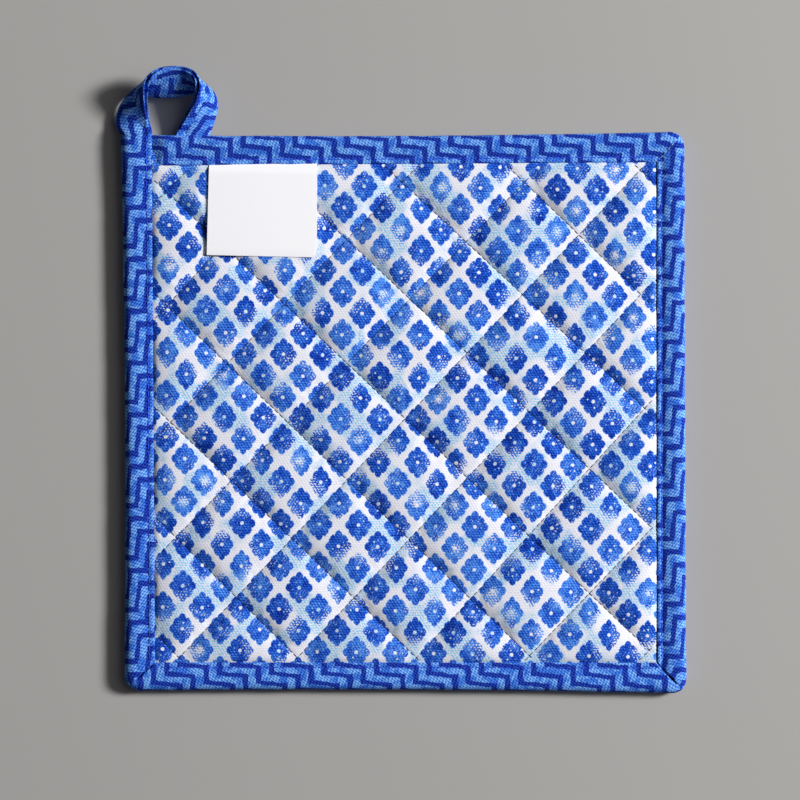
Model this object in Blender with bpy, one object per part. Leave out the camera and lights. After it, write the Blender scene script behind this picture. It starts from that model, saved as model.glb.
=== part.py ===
"""Quilted pot holder: a wadded square sewn in diamonds, bound with tape, with a hanging loop and a label.

It lies flat on the table (z = 0), with the loop at +Y. Lengths in the tables are millimetres, measured from
the middle of the square; the finished pieces hang on an empty that puts the middle of the whole outline,
loop included, over the origin.
"""
import math

import bmesh
import bpy
from mathutils import Vector

MM = 0.001
CUT_MERGE = 1e-4  # points nearer than this to a cut are moved onto it

# The square: where the tape's folded outer edge and its stitched inner edge run, corner by corner.
# columns: corner, outer x, outer y, inner x, inner y, rounding of the outer corner, sag of the next side
CORNERS = (
    ("top_left", -102.60, 100.35, -91.45, 89.85, 2.0, 1.0),
    ("top_right", 101.00, 101.45, 91.15, 90.95, 4.5, 0.0),
    ("bottom_right", 101.55, -101.45, 91.35, -90.95, 6.0, 0.5),
    ("bottom_left", -100.55, -99.45, -91.05, -90.65, 4.5, 0.4),
)
INNER_ROUNDING = 0.8
CORNER_STEPS = 4
SIDE_STEPS = 4

# The two families of quilting seams, in order across the square.
# columns: distance of the seam from the middle, tilt off the diagonal (mm per mm)
FALLING_SEAMS = (  # run down to the right
    (-120.1, 0.000),
    (-90.1, 0.005),
    (-61.0, 0.022),
    (-31.9, 0.018),
    (-1.5, 0.026),
    (31.0, 0.028),
    (60.1, 0.036),
    (89.7, 0.020),
    (121.9, 0.020),
)
RISING_SEAMS = (  # run up to the right
    (-117.2, 0.000),
    (-89.2, -0.040),
    (-58.3, -0.018),
    (-27.3, -0.009),
    (1.7, -0.028),
    (32.7, -0.028),
    (63.0, -0.045),
    (93.3, -0.020),
    (123.1, 0.000),
)
CELL_STEPS = (0.0, 0.08, 0.25, 0.5, 0.75, 0.92)  # rows of points between two seams, as shares of the gap
DOME_BREADTH = 2.4  # larger is flatter on top of a puff
DOME_STEEPNESS = 0.7  # smaller is steeper beside a seam

# Heights of the wadded square
SEWN_TOP = 4.7  # bottom of a sewn channel on the upper face
EDGE_TOP = 3.4  # under the tape
EDGE_BOTTOM = 1.4  # also the height of the channels in the lower face
PUFF = 2.1  # rise of a diamond above its channels
EDGE_RISE = 12.0  # how far in from the tape a puff reaches its full height
EDGE_FLAT = 0.5  # a puff starts to rise this far in, clear of the rounded corners of the tape
EDGE_BREAKS = (EDGE_FLAT, 3.0)  # rows of points this far in from the tape
ON_LINE = 0.01  # a point this near to a side of the tape lies on it
PAD_REACH = 6.2  # how far the square runs in under the tape
FLAT_FULLNESS = 0.45  # a diamond fuller than this is pressed flat on the table

# The bound edge in section, from its lower inner fold round the outside to the upper one and back inside.
# columns: share of the way from the outer edge to the inner edge, height
TAPE_SECTION = (
    (1.00, 0.0),
    (0.16, 0.0),
    (0.03, 1.0),
    (0.00, 2.7),
    (0.03, 4.3),
    (0.14, 5.3),
    (0.38, 5.7),
    (0.68, 5.4),
    (0.85, 4.6),
    (0.93, 5.0),
    (1.00, 4.5),
    (1.00, 3.7),
    (0.17, 3.7),
    (0.12, 2.4),
    (0.17, 1.1),
    (1.00, 1.1),
)
MITRE_DIP = 0.5  # drop of the upper skin in the fold of a mitre
UPPER_SKIN = 4.2  # points of the section above this height belong to the upper skin
MITRED = ("top_right", "bottom_right", "bottom_left")

# The hanging loop: the folded tape's stitched edge and its folded edge, from its root to its other end.
# columns: stitched edge x, y, z, folded edge x, y, z
LOOP_ROWS = (
    (-92.0, 100.9, 3.2, -103.9, 100.9, 2.3),
    (-92.6, 108.0, 5.2, -104.7, 106.4, 2.1),
    (-92.9, 113.6, 9.0, -102.2, 112.0, 1.5),
    (-92.0, 119.4, 12.6, -96.6, 116.6, 1.5),
    (-88.2, 122.9, 12.2, -90.2, 114.5, 3.3),
    (-82.0, 123.8, 11.6, -82.9, 114.0, 4.1),
    (-76.7, 122.4, 12.4, -76.0, 115.2, 2.9),
    (-74.3, 118.4, 12.4, -70.0, 116.0, 1.5),
    (-75.6, 112.4, 9.6, -67.5, 111.4, 1.5),
    (-79.6, 105.8, 5.2, -68.7, 105.0, 1.8),
    (-82.6, 100.8, 2.7, -70.3, 100.8, 1.9),
)
LOOP_THICKNESS = 2.0
LOOP_STEPS = 4
# columns: share of the half width, share of the half thickness
LOOP_SECTION = (
    (1.0, -0.4),
    (1.0, 0.4),
    (0.88, 1.0),
    (-0.88, 1.0),
    (-1.0, 0.4),
    (-1.0, -0.4),
    (-0.88, -1.0),
    (0.88, -1.0),
)

# The label, folded double and caught in the top seam
LABEL_LEFT = -71.0
LABEL_RIGHT = -31.5
LABEL_TOP = 89.5
LABEL_BOTTOM = (56.8, 55.7)  # at its left and at its right end
LABEL_THICKNESS = 1.0
LABEL_CLEARANCE = 0.6
LABEL_CELLS = (8, 7)

# columns: material, colour, roughness
FINISHES = {
    "printed_cotton": ((0.56, 0.66, 0.86, 1.0), 0.85),
    "binding_tape": ((0.10, 0.22, 0.66, 1.0), 0.8),
    "loop_tape": ((0.10, 0.22, 0.66, 1.0), 0.8),
    "label_satin": ((0.92, 0.92, 0.94, 1.0), 0.45),
}


def clear_scene():
    """Removes whatever the scene holds."""
    for item in list(bpy.data.objects):
        bpy.data.objects.remove(item)


def finish(name):
    """A cloth material by its name in FINISHES."""
    colour, roughness = FINISHES[name]
    material = bpy.data.materials.new(name)
    material.use_nodes = True
    shader = material.node_tree.nodes["Principled BSDF"]
    shader.inputs["Base Color"].default_value = colour
    shader.inputs["Roughness"].default_value = roughness
    shader.inputs["Metallic"].default_value = 0.0
    material.diffuse_color = colour
    return material


def make_object(name, mesh_build, material, holder, sharp_degrees):
    """Turns a bmesh in millimetres into a named object in metres that hangs on the holder."""
    bmesh.ops.scale(mesh_build, vec=(MM, MM, MM), verts=mesh_build.verts)
    bmesh.ops.recalc_face_normals(mesh_build, faces=mesh_build.faces)
    mesh = bpy.data.meshes.new(name)
    mesh_build.to_mesh(mesh)
    mesh_build.free()
    mesh.shade_smooth()
    mesh.set_sharp_from_angle(angle=math.radians(sharp_degrees))
    mesh.materials.append(material)
    item = bpy.data.objects.new(name, mesh)
    bpy.context.scene.collection.objects.link(item)
    item.parent = holder
    return item


def inner_corners():
    return [Vector((row[3], row[4])) for row in CORNERS]


def inner_sides():
    """Each inner side of the bound edge: a point on it and its normal towards the tape."""
    corners = inner_corners()
    sides = []
    for start, end in zip(corners, corners[1:] + corners[:1]):
        along = (end - start).normalized()
        sides.append((start, Vector((-along.y, along.x))))
    return sides


def distance_inside(x, y):
    """Distance in from the nearest inner side of the tape, negative under the tape."""
    point = Vector((x, y))
    return min((start - point).dot(normal) for start, normal in inner_sides())


def seam_levels(seams, across, along):
    """How far a point is across a family of seams, counted in seams."""
    passed = [across - (offset + tilt * along) for offset, tilt in seams]
    for index in range(len(seams) - 1):
        if passed[index + 1] < 0.0 or index == len(seams) - 2:
            return index + passed[index] / (passed[index] - passed[index + 1])


def dome(share):
    """Round rise and fall of the cloth from one seam (0) to the next (1)."""
    off_middle = min(abs(2.0 * share - 1.0), 1.0)
    return (1.0 - off_middle**DOME_BREADTH) ** DOME_STEEPNESS


def fullness(x, y):
    """0 on a seam, 1 in the middle of a diamond."""
    across = (x + y) / math.sqrt(2.0)
    along = (x - y) / math.sqrt(2.0)
    falling = seam_levels(FALLING_SEAMS, across, along)
    rising = seam_levels(RISING_SEAMS, along, across)
    return dome(falling - math.floor(falling)) * dome(rising - math.floor(rising))


def edge_rise(x, y):
    """0 under the tape, 1 well inside it."""
    share = min(max((distance_inside(x, y) - EDGE_FLAT) / EDGE_RISE, 0.0), 1.0)
    return (1.0 - (1.0 - share) ** 2) ** DOME_STEEPNESS


def crown(x, y, full):
    """Height of the upper face where the wadding is as full as stated."""
    return EDGE_TOP + edge_rise(x, y) * (SEWN_TOP - EDGE_TOP + PUFF * full)


def underside(x, y):
    """Height of the lower face: flat on the table, drawn up along the seams and at the tape."""
    drawn_up = 1.0 - edge_rise(x, y) * fullness(x, y) / FLAT_FULLNESS
    return EDGE_BOTTOM * max(drawn_up, 0.0)


def seam_crossing(falling_level, rising_level):
    """The point at these two levels of the two families, in the plane."""
    def between(seams, level):
        index = min(max(int(math.floor(level)), 0), len(seams) - 2)
        share = level - index
        low, high = seams[index], seams[index + 1]
        return tuple(a + (b - a) * share for a, b in zip(low, high))

    falling_offset, falling_tilt = between(FALLING_SEAMS, falling_level)
    rising_offset, rising_tilt = between(RISING_SEAMS, rising_level)
    across = (falling_offset + falling_tilt * rising_offset) / (1.0 - falling_tilt * rising_tilt)
    along = rising_offset + rising_tilt * across
    return Vector(((across + along) / math.sqrt(2.0), (across - along) / math.sqrt(2.0), 0.0))


def seam_grid(mesh_build):
    """A flat grid whose lines follow the quilting seams."""
    cells = len(FALLING_SEAMS) + 1
    levels = [cell - 1 + step for cell in range(cells) for step in CELL_STEPS] + [cells - 1]
    count = len(levels) - 1
    bmesh.ops.create_grid(mesh_build, x_segments=count, y_segments=count, size=count / 2.0)
    for vert in mesh_build.verts:
        column = round(vert.co.x + count / 2.0)
        row = round(vert.co.y + count / 2.0)
        vert.co = seam_crossing(levels[column], levels[row])


def cut_to_square(mesh_build):
    """Trims the grid along the tape's inner sides and adds two rows of points just inside them."""
    for start, normal in inner_sides():
        everything = mesh_build.verts[:] + mesh_build.edges[:] + mesh_build.faces[:]
        bmesh.ops.bisect_plane(
            mesh_build, geom=everything, dist=CUT_MERGE, clear_outer=True,
            plane_co=(start.x, start.y, 0.0), plane_no=(normal.x, normal.y, 0.0),
        )
    for reach in EDGE_BREAKS:
        for start, normal in inner_sides():
            everything = mesh_build.verts[:] + mesh_build.edges[:] + mesh_build.faces[:]
            line = start - reach * normal
            bmesh.ops.bisect_plane(
                mesh_build, geom=everything, dist=CUT_MERGE,
                plane_co=(line.x, line.y, 0.0), plane_no=(normal.x, normal.y, 0.0),
            )


def extend_under_tape(mesh_build):
    """Carries the cut edge outwards, into the fold of the tape."""
    rim = [edge for edge in mesh_build.edges if edge.is_boundary]
    made = bmesh.ops.extrude_edge_only(mesh_build, edges=rim)
    for vert in made["geom"]:
        if not isinstance(vert, bmesh.types.BMVert):
            continue
        flat = Vector((vert.co.x, vert.co.y))
        for start, normal in inner_sides():
            if abs((start - flat).dot(normal)) < ON_LINE:
                vert.co += PAD_REACH * Vector((normal.x, normal.y, 0.0))


def thicken_and_shape(mesh_build):
    """Gives the flat sheet its two faces and lifts each point to its height."""
    lower = mesh_build.verts[:]
    made = bmesh.ops.extrude_face_region(mesh_build, geom=mesh_build.faces[:])
    upper = [item for item in made["geom"] if isinstance(item, bmesh.types.BMVert)]
    for vert in lower:
        vert.co.z = underside(vert.co.x, vert.co.y)
    for vert in upper:
        x, y = vert.co.x, vert.co.y
        vert.co.z = crown(x, y, fullness(x, y))


def quilted_pad(holder):
    """The wadded square: one filled solid with sewn channels on both faces."""
    mesh_build = bmesh.new()
    seam_grid(mesh_build)
    cut_to_square(mesh_build)
    extend_under_tape(mesh_build)
    thicken_and_shape(mesh_build)
    return make_object("quilted_pad", mesh_build, finish("printed_cotton"), holder, 60.0)


def round_corner(before, corner, after, radius):
    """Points of a rounded corner, between its two tangent points."""
    start = corner + radius * (before - corner).normalized()
    end = corner + radius * (after - corner).normalized()
    points = []
    for step in range(CORNER_STEPS + 1):
        t = step / CORNER_STEPS
        points.append(start * (1 - t) ** 2 + corner * 2 * t * (1 - t) + end * t**2)
    return points


def tape_path(corners, radii, sags):
    """A closed path round the square: each corner's arc, then the points of the side that follows."""
    path = []
    count = len(corners)
    for index in range(count):
        before, corner = corners[index - 1], corners[index]
        after = corners[(index + 1) % count]
        path += round_corner(before, corner, after, radii[index])
        along = after - corner
        inward = Vector((along.y, -along.x)).normalized()
        for step in range(1, SIDE_STEPS):
            t = step / SIDE_STEPS
            path.append(corner + along * t + inward * sags[index] * 4 * t * (1 - t))
    return path


def mitre_dip(station, share):
    """How much a mitred corner's fold draws the top of the tape in."""
    corner, step = divmod(station, CORNER_STEPS + SIDE_STEPS)
    folded = CORNERS[corner][0] in MITRED and step == CORNER_STEPS // 2
    return MITRE_DIP if folded and 0.0 < share < 1.0 else 0.0


def skin_rings(mesh_build, rings, closed):
    """Joins rings of vertices with faces; a strip that isn't closed gets an end face at each end."""
    count = len(rings)
    for index in range(count if closed else count - 1):
        ring, following = rings[index], rings[(index + 1) % count]
        for step in range(len(ring)):
            nxt = (step + 1) % len(ring)
            mesh_build.faces.new((ring[step], ring[nxt], following[nxt], following[step]))
    if not closed:
        mesh_build.faces.new(rings[0])
        mesh_build.faces.new(rings[-1])


def binding(holder):
    """The tape folded round the edge: one ring of a C section, mitred at three corners."""
    outer = tape_path(
        [Vector((row[1], row[2])) for row in CORNERS],
        [row[5] for row in CORNERS],
        [row[6] for row in CORNERS],
    )
    inner = tape_path(inner_corners(), [INNER_ROUNDING] * len(CORNERS), [0.0] * len(CORNERS))
    mesh_build = bmesh.new()
    rings = []
    for station, (out, inn) in enumerate(zip(outer, inner)):
        ring = []
        for share, height in TAPE_SECTION:
            flat = out.lerp(inn, share)
            dip = mitre_dip(station, share) if height > UPPER_SKIN else 0.0
            ring.append(mesh_build.verts.new((flat.x, flat.y, height - dip)))
        rings.append(ring)
    skin_rings(mesh_build, rings, closed=True)
    return make_object("binding", mesh_build, finish("binding_tape"), holder, 50.0)


def smooth_rows(rows, steps):
    """Catmull-Rom points through the rows of a table."""
    points = [Vector(row) for row in rows]
    points = [2 * points[0] - points[1]] + points + [2 * points[-1] - points[-2]]
    smooth = []
    for index in range(1, len(points) - 2):
        a, b, c, d = points[index - 1 : index + 3]
        for step in range(steps):
            t = step / steps
            smooth.append(
                0.5 * (2 * b + (c - a) * t + (2 * a - 5 * b + 4 * c - d) * t**2
                       + (3 * b - a - 3 * c + d) * t**3)
            )
    return smooth + [points[-2]]


def hanging_loop(holder):
    """The tail of the tape, folded and stitched, standing up in a loop beside the top left corner."""
    stitched = smooth_rows([row[:3] for row in LOOP_ROWS], LOOP_STEPS)
    folded = smooth_rows([row[3:] for row in LOOP_ROWS], LOOP_STEPS)
    centres = [(a + b) / 2 for a, b in zip(stitched, folded)]
    last = len(centres) - 1
    mesh_build = bmesh.new()
    rings = []
    for index, centre in enumerate(centres):
        half_width = (folded[index] - stitched[index]) / 2
        along = centres[min(index + 1, last)] - centres[max(index - 1, 0)]
        outward = along.cross(half_width).normalized() * LOOP_THICKNESS / 2
        rings.append([
            mesh_build.verts.new(centre + half_width * wide + outward * thick)
            for wide, thick in LOOP_SECTION
        ])
    skin_rings(mesh_build, rings, closed=False)
    return make_object("hanging_loop", mesh_build, finish("loop_tape"), holder, 50.0)


def label(holder):
    """The folded label, hanging from the top seam over the puffs."""
    columns, rows = LABEL_CELLS
    mesh_build = bmesh.new()
    bmesh.ops.create_grid(mesh_build, x_segments=columns, y_segments=rows, size=0.5)
    for vert in mesh_build.verts:
        across = vert.co.x + 0.5
        down = 0.5 - vert.co.y
        bottom = LABEL_BOTTOM[0] + (LABEL_BOTTOM[1] - LABEL_BOTTOM[0]) * across
        vert.co.x = LABEL_LEFT + (LABEL_RIGHT - LABEL_LEFT) * across
        vert.co.y = LABEL_TOP + (bottom - LABEL_TOP) * down
        vert.co.z = crown(vert.co.x, vert.co.y, 1.0) + LABEL_CLEARANCE
    made = bmesh.ops.extrude_face_region(mesh_build, geom=mesh_build.faces[:])
    upper = [item for item in made["geom"] if isinstance(item, bmesh.types.BMVert)]
    bmesh.ops.translate(mesh_build, verts=upper, vec=(0.0, 0.0, LABEL_THICKNESS))
    return make_object("label", mesh_build, finish("label_satin"), holder, 50.0)


def centre_over_origin(holder, pieces):
    """Moves the holder so that the middle of the whole outline is over the origin."""
    points = [vert.co for piece in pieces for vert in piece.data.vertices]
    for axis in (0, 1):
        values = [point[axis] for point in points]
        holder.location[axis] = -(min(values) + max(values)) / 2


def build():
    clear_scene()
    holder = bpy.data.objects.new("pot_holder", None)
    bpy.context.scene.collection.objects.link(holder)
    pieces = [quilted_pad(holder), binding(holder), hanging_loop(holder), label(holder)]
    centre_over_origin(holder, pieces)
    bpy.context.view_layer.update()


build()
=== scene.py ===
# %% [markdown]
# # A quilted pot holder
#
# The real thing is a square of two printed cotton faces with wadding between them. It is sewn through
# along two families of slanting lines, so that it stands up in puffs. A patterned tape is folded round
# its edge and sewn down. The tape's tail is folded and sewn to itself, and makes the hanging loop. A
# plain white label is caught under the tape.
#
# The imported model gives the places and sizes. Each of its four solids is stood for by a finished piece
# here.

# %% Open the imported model
import math

import bpy
import numpy as np
from mathutils import Matrix, Vector, noise


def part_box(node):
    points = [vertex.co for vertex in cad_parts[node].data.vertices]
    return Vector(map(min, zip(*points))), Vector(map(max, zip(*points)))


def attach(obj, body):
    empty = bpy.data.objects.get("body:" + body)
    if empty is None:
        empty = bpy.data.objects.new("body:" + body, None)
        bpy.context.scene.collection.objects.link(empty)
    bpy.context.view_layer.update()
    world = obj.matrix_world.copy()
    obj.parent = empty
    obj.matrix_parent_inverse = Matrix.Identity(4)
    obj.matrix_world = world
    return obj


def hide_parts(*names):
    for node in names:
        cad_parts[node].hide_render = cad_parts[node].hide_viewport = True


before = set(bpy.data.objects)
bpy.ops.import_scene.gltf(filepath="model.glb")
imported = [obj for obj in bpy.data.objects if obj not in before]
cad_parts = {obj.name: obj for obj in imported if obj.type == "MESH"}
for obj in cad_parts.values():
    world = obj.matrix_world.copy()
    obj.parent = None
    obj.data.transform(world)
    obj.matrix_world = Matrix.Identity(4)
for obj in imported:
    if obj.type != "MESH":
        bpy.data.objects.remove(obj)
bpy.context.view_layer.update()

# %% [markdown]
# ## Measures
#
# Sewing is measured in millimetres and from the middle of the square, so each piece is made that way and
# is then seated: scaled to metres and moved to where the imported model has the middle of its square. The
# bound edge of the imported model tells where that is.

# %% Seat a piece made in millimetres
MM = 0.001
RIGHT_REACH, TOP_REACH = 0.101534, 0.101426  # from the middle of the square to the bound edge

edge_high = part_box("binding")[1]
middle = Vector((edge_high.x - RIGHT_REACH, edge_high.y - TOP_REACH, 0.0))


def seat(piece):
    """Scales a piece's mesh from millimetres to metres and moves it to its place."""
    piece.data.transform(Matrix.Translation(middle) @ Matrix.Scale(MM, 4))
    piece.data.update()
    return piece


print("middle of the square in mm:", [round(1000 * c, 3) for c in middle])

# %% [markdown]
# ## Camera, floor and light
#
# The holder lies flat and is seen from straight above, so the camera looks down from a little over a
# metre. One soft lamp stands low to the right and a little beyond the holder: its low angle is what
# brings out the puffs, because the walls that face away from it fall into shade. A sun from the same
# direction, as soft as the lamp, keeps the light even across the floor. A broad lamp higher up and a
# faint sky fill the shade a little.

# %% Camera straight above
CAMERA_HEIGHT = 1.2
SEEN_WIDTH = 0.289  # of the table, across the picture
SENSOR_WIDTH = 36.0
TOP_OF_CLOTH = 0.003
OFF_MIDDLE = (-0.00168, 0.00444)  # of the camera, from the middle of the square

camera_data = bpy.data.cameras.new("camera")
camera_data.sensor_width = SENSOR_WIDTH
camera_data.lens = SENSOR_WIDTH * (CAMERA_HEIGHT - TOP_OF_CLOTH) / SEEN_WIDTH
camera = bpy.data.objects.new("camera", camera_data)
bpy.context.scene.collection.objects.link(camera)
camera.location = middle + Vector((*OFF_MIDDLE, CAMERA_HEIGHT))
bpy.context.scene.camera = camera
print("lens in mm:", round(camera_data.lens, 1))

# %% Floor
FLOOR_SIDE = 40.0
FLOOR_COLOUR = (0.362, 0.355, 0.346, 1.0)
FLOOR_ROUGHNESS = 0.9

bpy.ops.object.select_all(action="DESELECT")
bpy.ops.mesh.primitive_plane_add(size=FLOOR_SIDE)
floor = bpy.context.object
floor.name = "floor"
floor_paint = bpy.data.materials.new("pale_floor")
floor_paint.use_nodes = True
floor_shader = floor_paint.node_tree.nodes["Principled BSDF"]
floor_shader.inputs["Base Color"].default_value = FLOOR_COLOUR
floor_shader.inputs["Roughness"].default_value = FLOOR_ROUGHNESS
floor.data.materials.append(floor_paint)
print("floor side in m:", FLOOR_SIDE)

# %% Lamps and sky
LAMP_BEARING = math.radians(15.0)  # from the right, turned towards the far side
LAMP_DISTANCE = 1.8
LAMP_SIZE, LAMP_HEIGHT = 0.37, math.radians(30.0)  # of the soft lamp, and as much for the sun
FILL_SIZE, FILL_HEIGHT = 1.5, math.radians(48.0)
LAMP_COLOUR = (1.0, 0.99, 0.98)
SKY_COLOUR = (0.94, 0.94, 1.0, 1.0)
SKY_STRENGTH = 0.06


def add_lamp(name, kind, size, height, strength):
    """A round soft lamp that looks at the middle of the holder; a sun looks as broad as the disk."""
    lamp_data = bpy.data.lights.new(name, kind)
    if kind == "SUN":
        lamp_data.angle = 2.0 * math.atan(size / 2.0 / LAMP_DISTANCE)
    else:
        lamp_data.shape = "DISK"
        lamp_data.size = size
    lamp_data.energy = strength
    lamp_data.color = LAMP_COLOUR
    lamp = bpy.data.objects.new(name, lamp_data)
    bpy.context.scene.collection.objects.link(lamp)
    towards_lamp = Vector((
        math.cos(LAMP_BEARING) * math.cos(height),
        math.sin(LAMP_BEARING) * math.cos(height),
        math.sin(height),
    ))
    lamp.location = towards_lamp * LAMP_DISTANCE
    lamp.rotation_euler = towards_lamp.to_track_quat("Z", "Y").to_euler()
    return lamp


lamp = add_lamp("soft_lamp", "AREA", LAMP_SIZE, LAMP_HEIGHT, strength=30.0)
add_lamp("even_lamp", "SUN", LAMP_SIZE, LAMP_HEIGHT, strength=2.45)
add_lamp("fill_lamp", "AREA", FILL_SIZE, FILL_HEIGHT, strength=5.0)

sky = bpy.data.worlds.new("sky")
sky.use_nodes = True
sky.node_tree.nodes["Background"].inputs["Color"].default_value = SKY_COLOUR
sky.node_tree.nodes["Background"].inputs["Strength"].default_value = SKY_STRENGTH
bpy.context.scene.world = sky
bpy.context.scene.view_settings.view_transform = "Standard"
print("lamp at", [round(c, 2) for c in lamp.location])

# %% [markdown]
# ## Helpers for meshes
#
# Cloth starts as a flat grid, as it comes off the roll, and each of its points is then moved to where the
# cloth lies. The grid's own UV map keeps the flat measure of the cloth in metres, so a print and a weave
# follow the cloth wherever it bends.


# %% Select, grid, points and UV map
def select_only(*pieces):
    """Selects these pieces and nothing else, and makes the first of them the active one."""
    bpy.ops.object.select_all(action="DESELECT")
    for piece in pieces:
        piece.select_set(True)
    bpy.context.view_layer.objects.active = pieces[0]


def flat_grid(name, columns, rows):
    """A grid primitive of that many faces each way; its points run along the columns first."""
    bpy.ops.object.select_all(action="DESELECT")
    bpy.ops.mesh.primitive_grid_add(x_subdivisions=columns, y_subdivisions=rows, size=1.0)
    made = bpy.context.object
    made.name = made.data.name = name
    return made


def points_of(piece):
    """The points of a piece as rows of x, y, z."""
    found = np.zeros(len(piece.data.vertices) * 3)
    piece.data.vertices.foreach_get("co", found)
    return found.reshape(-1, 3)


def move_points(piece, places):
    """Moves each point of a piece to its row of x, y, z."""
    piece.data.vertices.foreach_set("co", np.asarray(places, dtype=np.float32).ravel())
    piece.data.update()


def set_cloth_map(piece, flat):
    """Writes each point's flat place, in millimetres, to the piece's UV map in metres."""
    piece.data.uv_layers[0].name = "cloth"
    corners = np.zeros(len(piece.data.loops), dtype=np.int32)
    piece.data.loops.foreach_get("vertex_index", corners)
    flat = np.asarray(flat, dtype=float)[corners] * MM
    piece.data.uv_layers[0].data.foreach_set("uv", flat.astype(np.float32).ravel())


def in_edit_mode(piece, *steps):
    """Runs edit-mode steps on a piece with all of it selected before each."""
    select_only(piece)
    bpy.ops.object.mode_set(mode="EDIT")
    for step in steps:
        bpy.ops.mesh.select_all(action="SELECT")
        step()
    bpy.ops.object.mode_set(mode="OBJECT")


# %% [markdown]
# ## The quilting seams
#
# Two families of seams cross the square. Each seam is nearly straight and a little off the diagonal, as
# hand-fed sewing is. A seam is given by its distance from the middle and by its tilt. Counting seams
# gives every point of the cloth two levels: whole numbers lie on a seam, and halves lie in the middle of
# a puff.

# %% Seam tables and levels
FALLING_SEAMS = np.array((  # run down to the right: distance from the middle, tilt
    (-120.1, 0.000), (-90.1, 0.005), (-61.0, 0.022), (-31.9, 0.018), (-1.5, 0.026),
    (31.0, 0.028), (60.1, 0.036), (89.7, 0.020), (121.9, 0.020),
))
RISING_SEAMS = np.array((  # run up to the right
    (-117.2, 0.000), (-89.2, -0.040), (-58.3, -0.018), (-27.3, -0.009), (1.7, -0.028),
    (32.7, -0.028), (63.0, -0.045), (93.3, -0.020), (123.1, 0.000),
))
ROOT2 = math.sqrt(2.0)


def seam_levels(seams, across, along):
    """How far points are across a family of seams, counted in seams."""
    passed = across - (seams[:, :1] + seams[:, 1:] * along)
    index = np.clip((passed >= 0.0).sum(axis=0) - 1, 0, len(seams) - 2)
    before = np.take_along_axis(passed, index[None], 0)[0]
    after = np.take_along_axis(passed, index[None] + 1, 0)[0]
    return index + before / (before - after)


def levels_at(x, y):
    """The falling and the rising level of points."""
    across, along = (x + y) / ROOT2, (x - y) / ROOT2
    return seam_levels(FALLING_SEAMS, across, along), seam_levels(RISING_SEAMS, along, across)


def place_at(falling, rising):
    """The points that lie at these two levels."""
    lines = []
    for seams, level in ((FALLING_SEAMS, falling), (RISING_SEAMS, rising)):
        index = np.clip(np.floor(level).astype(int), 0, len(seams) - 2)
        share = (level - index)[:, None]
        lines.append((seams[index] * (1.0 - share) + seams[index + 1] * share).T)
    (offset_a, tilt_a), (offset_b, tilt_b) = lines
    across = (offset_a + tilt_a * offset_b) / (1.0 - tilt_a * tilt_b)
    along = offset_b + tilt_b * across
    return (across + along) / ROOT2, (across - along) / ROOT2


print("seams:", len(FALLING_SEAMS), "falling,", len(RISING_SEAMS), "rising")

# %% [markdown]
# ## The outline of the square
#
# The tape's folded outer edge and its stitched inner edge run from corner to corner, and neither is quite
# square. The pad's faces run on under the tape.

# %% Corners of the tape and the distance from it
CORNERS = {  # outer x, outer y, inner x, inner y, rounding, sag of the side that follows
    "top_left": (-102.60, 100.35, -91.20, 88.95, 2.0, 1.0),
    "top_right": (101.00, 101.45, 90.75, 90.20, 6.5, 0.0),
    "bottom_right": (101.70, -101.60, 90.85, -90.30, 6.0, 0.9),
    "bottom_left": (-101.25, -100.65, -90.05, -90.20, 7.0, 0.9),
}
OUTER = [np.array(row[:2]) for row in CORNERS.values()]
INNER = [np.array(row[2:4]) for row in CORNERS.values()]
ROUNDING = [row[4] for row in CORNERS.values()]
SAG = [row[5] for row in CORNERS.values()]


def inner_side(side):
    """A point on one of the tape's inner sides, and the direction from there towards the tape."""
    along = INNER[(side + 1) % 4] - INNER[side]
    along = along / np.linalg.norm(along)
    return INNER[side], np.array((-along[1], along[0]))


def distance_inside(x, y):
    """How far in from the tape points are, negative under it."""
    distances = []
    for side in range(4):
        start, outwards = inner_side(side)
        distances.append((start[0] - x) * outwards[0] + (start[1] - y) * outwards[1])
    return np.min(distances, axis=0)


inner_lengths = [float(np.linalg.norm(INNER[side] - INNER[side - 1])) for side in range(4)]
print("inner sides in mm:", [round(length, 1) for length in inner_lengths])

# %% [markdown]
# ## The pad: its flat cloth
#
# A voxel remesh would wipe out the seams, so the cloth is a grid whose lines run along the seams. The
# grid is added as a primitive, its points are laid at equal shares between the seams, and four bisecting
# cuts trim it a little way under the tape. Its UV map is written while it is still flat.

# %% Grid along the seams, trimmed to the square
GAP_STEPS = 28  # grid faces from one seam to the next
GAPS = len(FALLING_SEAMS) + 1
UNDER_TAPE = 4.5  # how far the cloth runs in under the tape
CUT_MERGE = 0.05

side_faces = GAPS * GAP_STEPS
pad = flat_grid("padded_square", side_faces, side_faces)
steps = np.arange(side_faces + 1) / GAP_STEPS - 1.0
rising_step, falling_step = np.meshgrid(steps, steps)
grid_x, grid_y = place_at(falling_step.ravel(), rising_step.ravel())
move_points(pad, np.column_stack((grid_x, grid_y, np.zeros_like(grid_x))))


def trim_side(side):
    """Cuts off what lies too far out under one side of the tape."""
    start, outwards = inner_side(side)
    cut = start + UNDER_TAPE * outwards
    bpy.ops.mesh.bisect(
        plane_co=(cut[0], cut[1], 0.0), plane_no=(outwards[0], outwards[1], 0.0),
        clear_outer=True, threshold=CUT_MERGE,
    )


in_edit_mode(pad, *[lambda side=side: trim_side(side) for side in range(4)])
flat_places = points_of(pad)
pad_x, pad_y = flat_places[:, 0], flat_places[:, 1]
print("pad points:", len(flat_places), "normal:", [round(c, 2) for c in pad.data.polygons[0].normal])

# %% [markdown]
# ## The pad: puffs that lean
#
# Sewing pushes the upper cloth along, so it doesn't lie quite even between its seams. Each puff leans to
# the left, over the two seams there, and its wall on that side is steep. The shift is none on the seams
# and at the tape, and most in the middle of a puff. The UV map is given the shifted places, so that the
# rows of flowers still run straight when seen from above.

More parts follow.
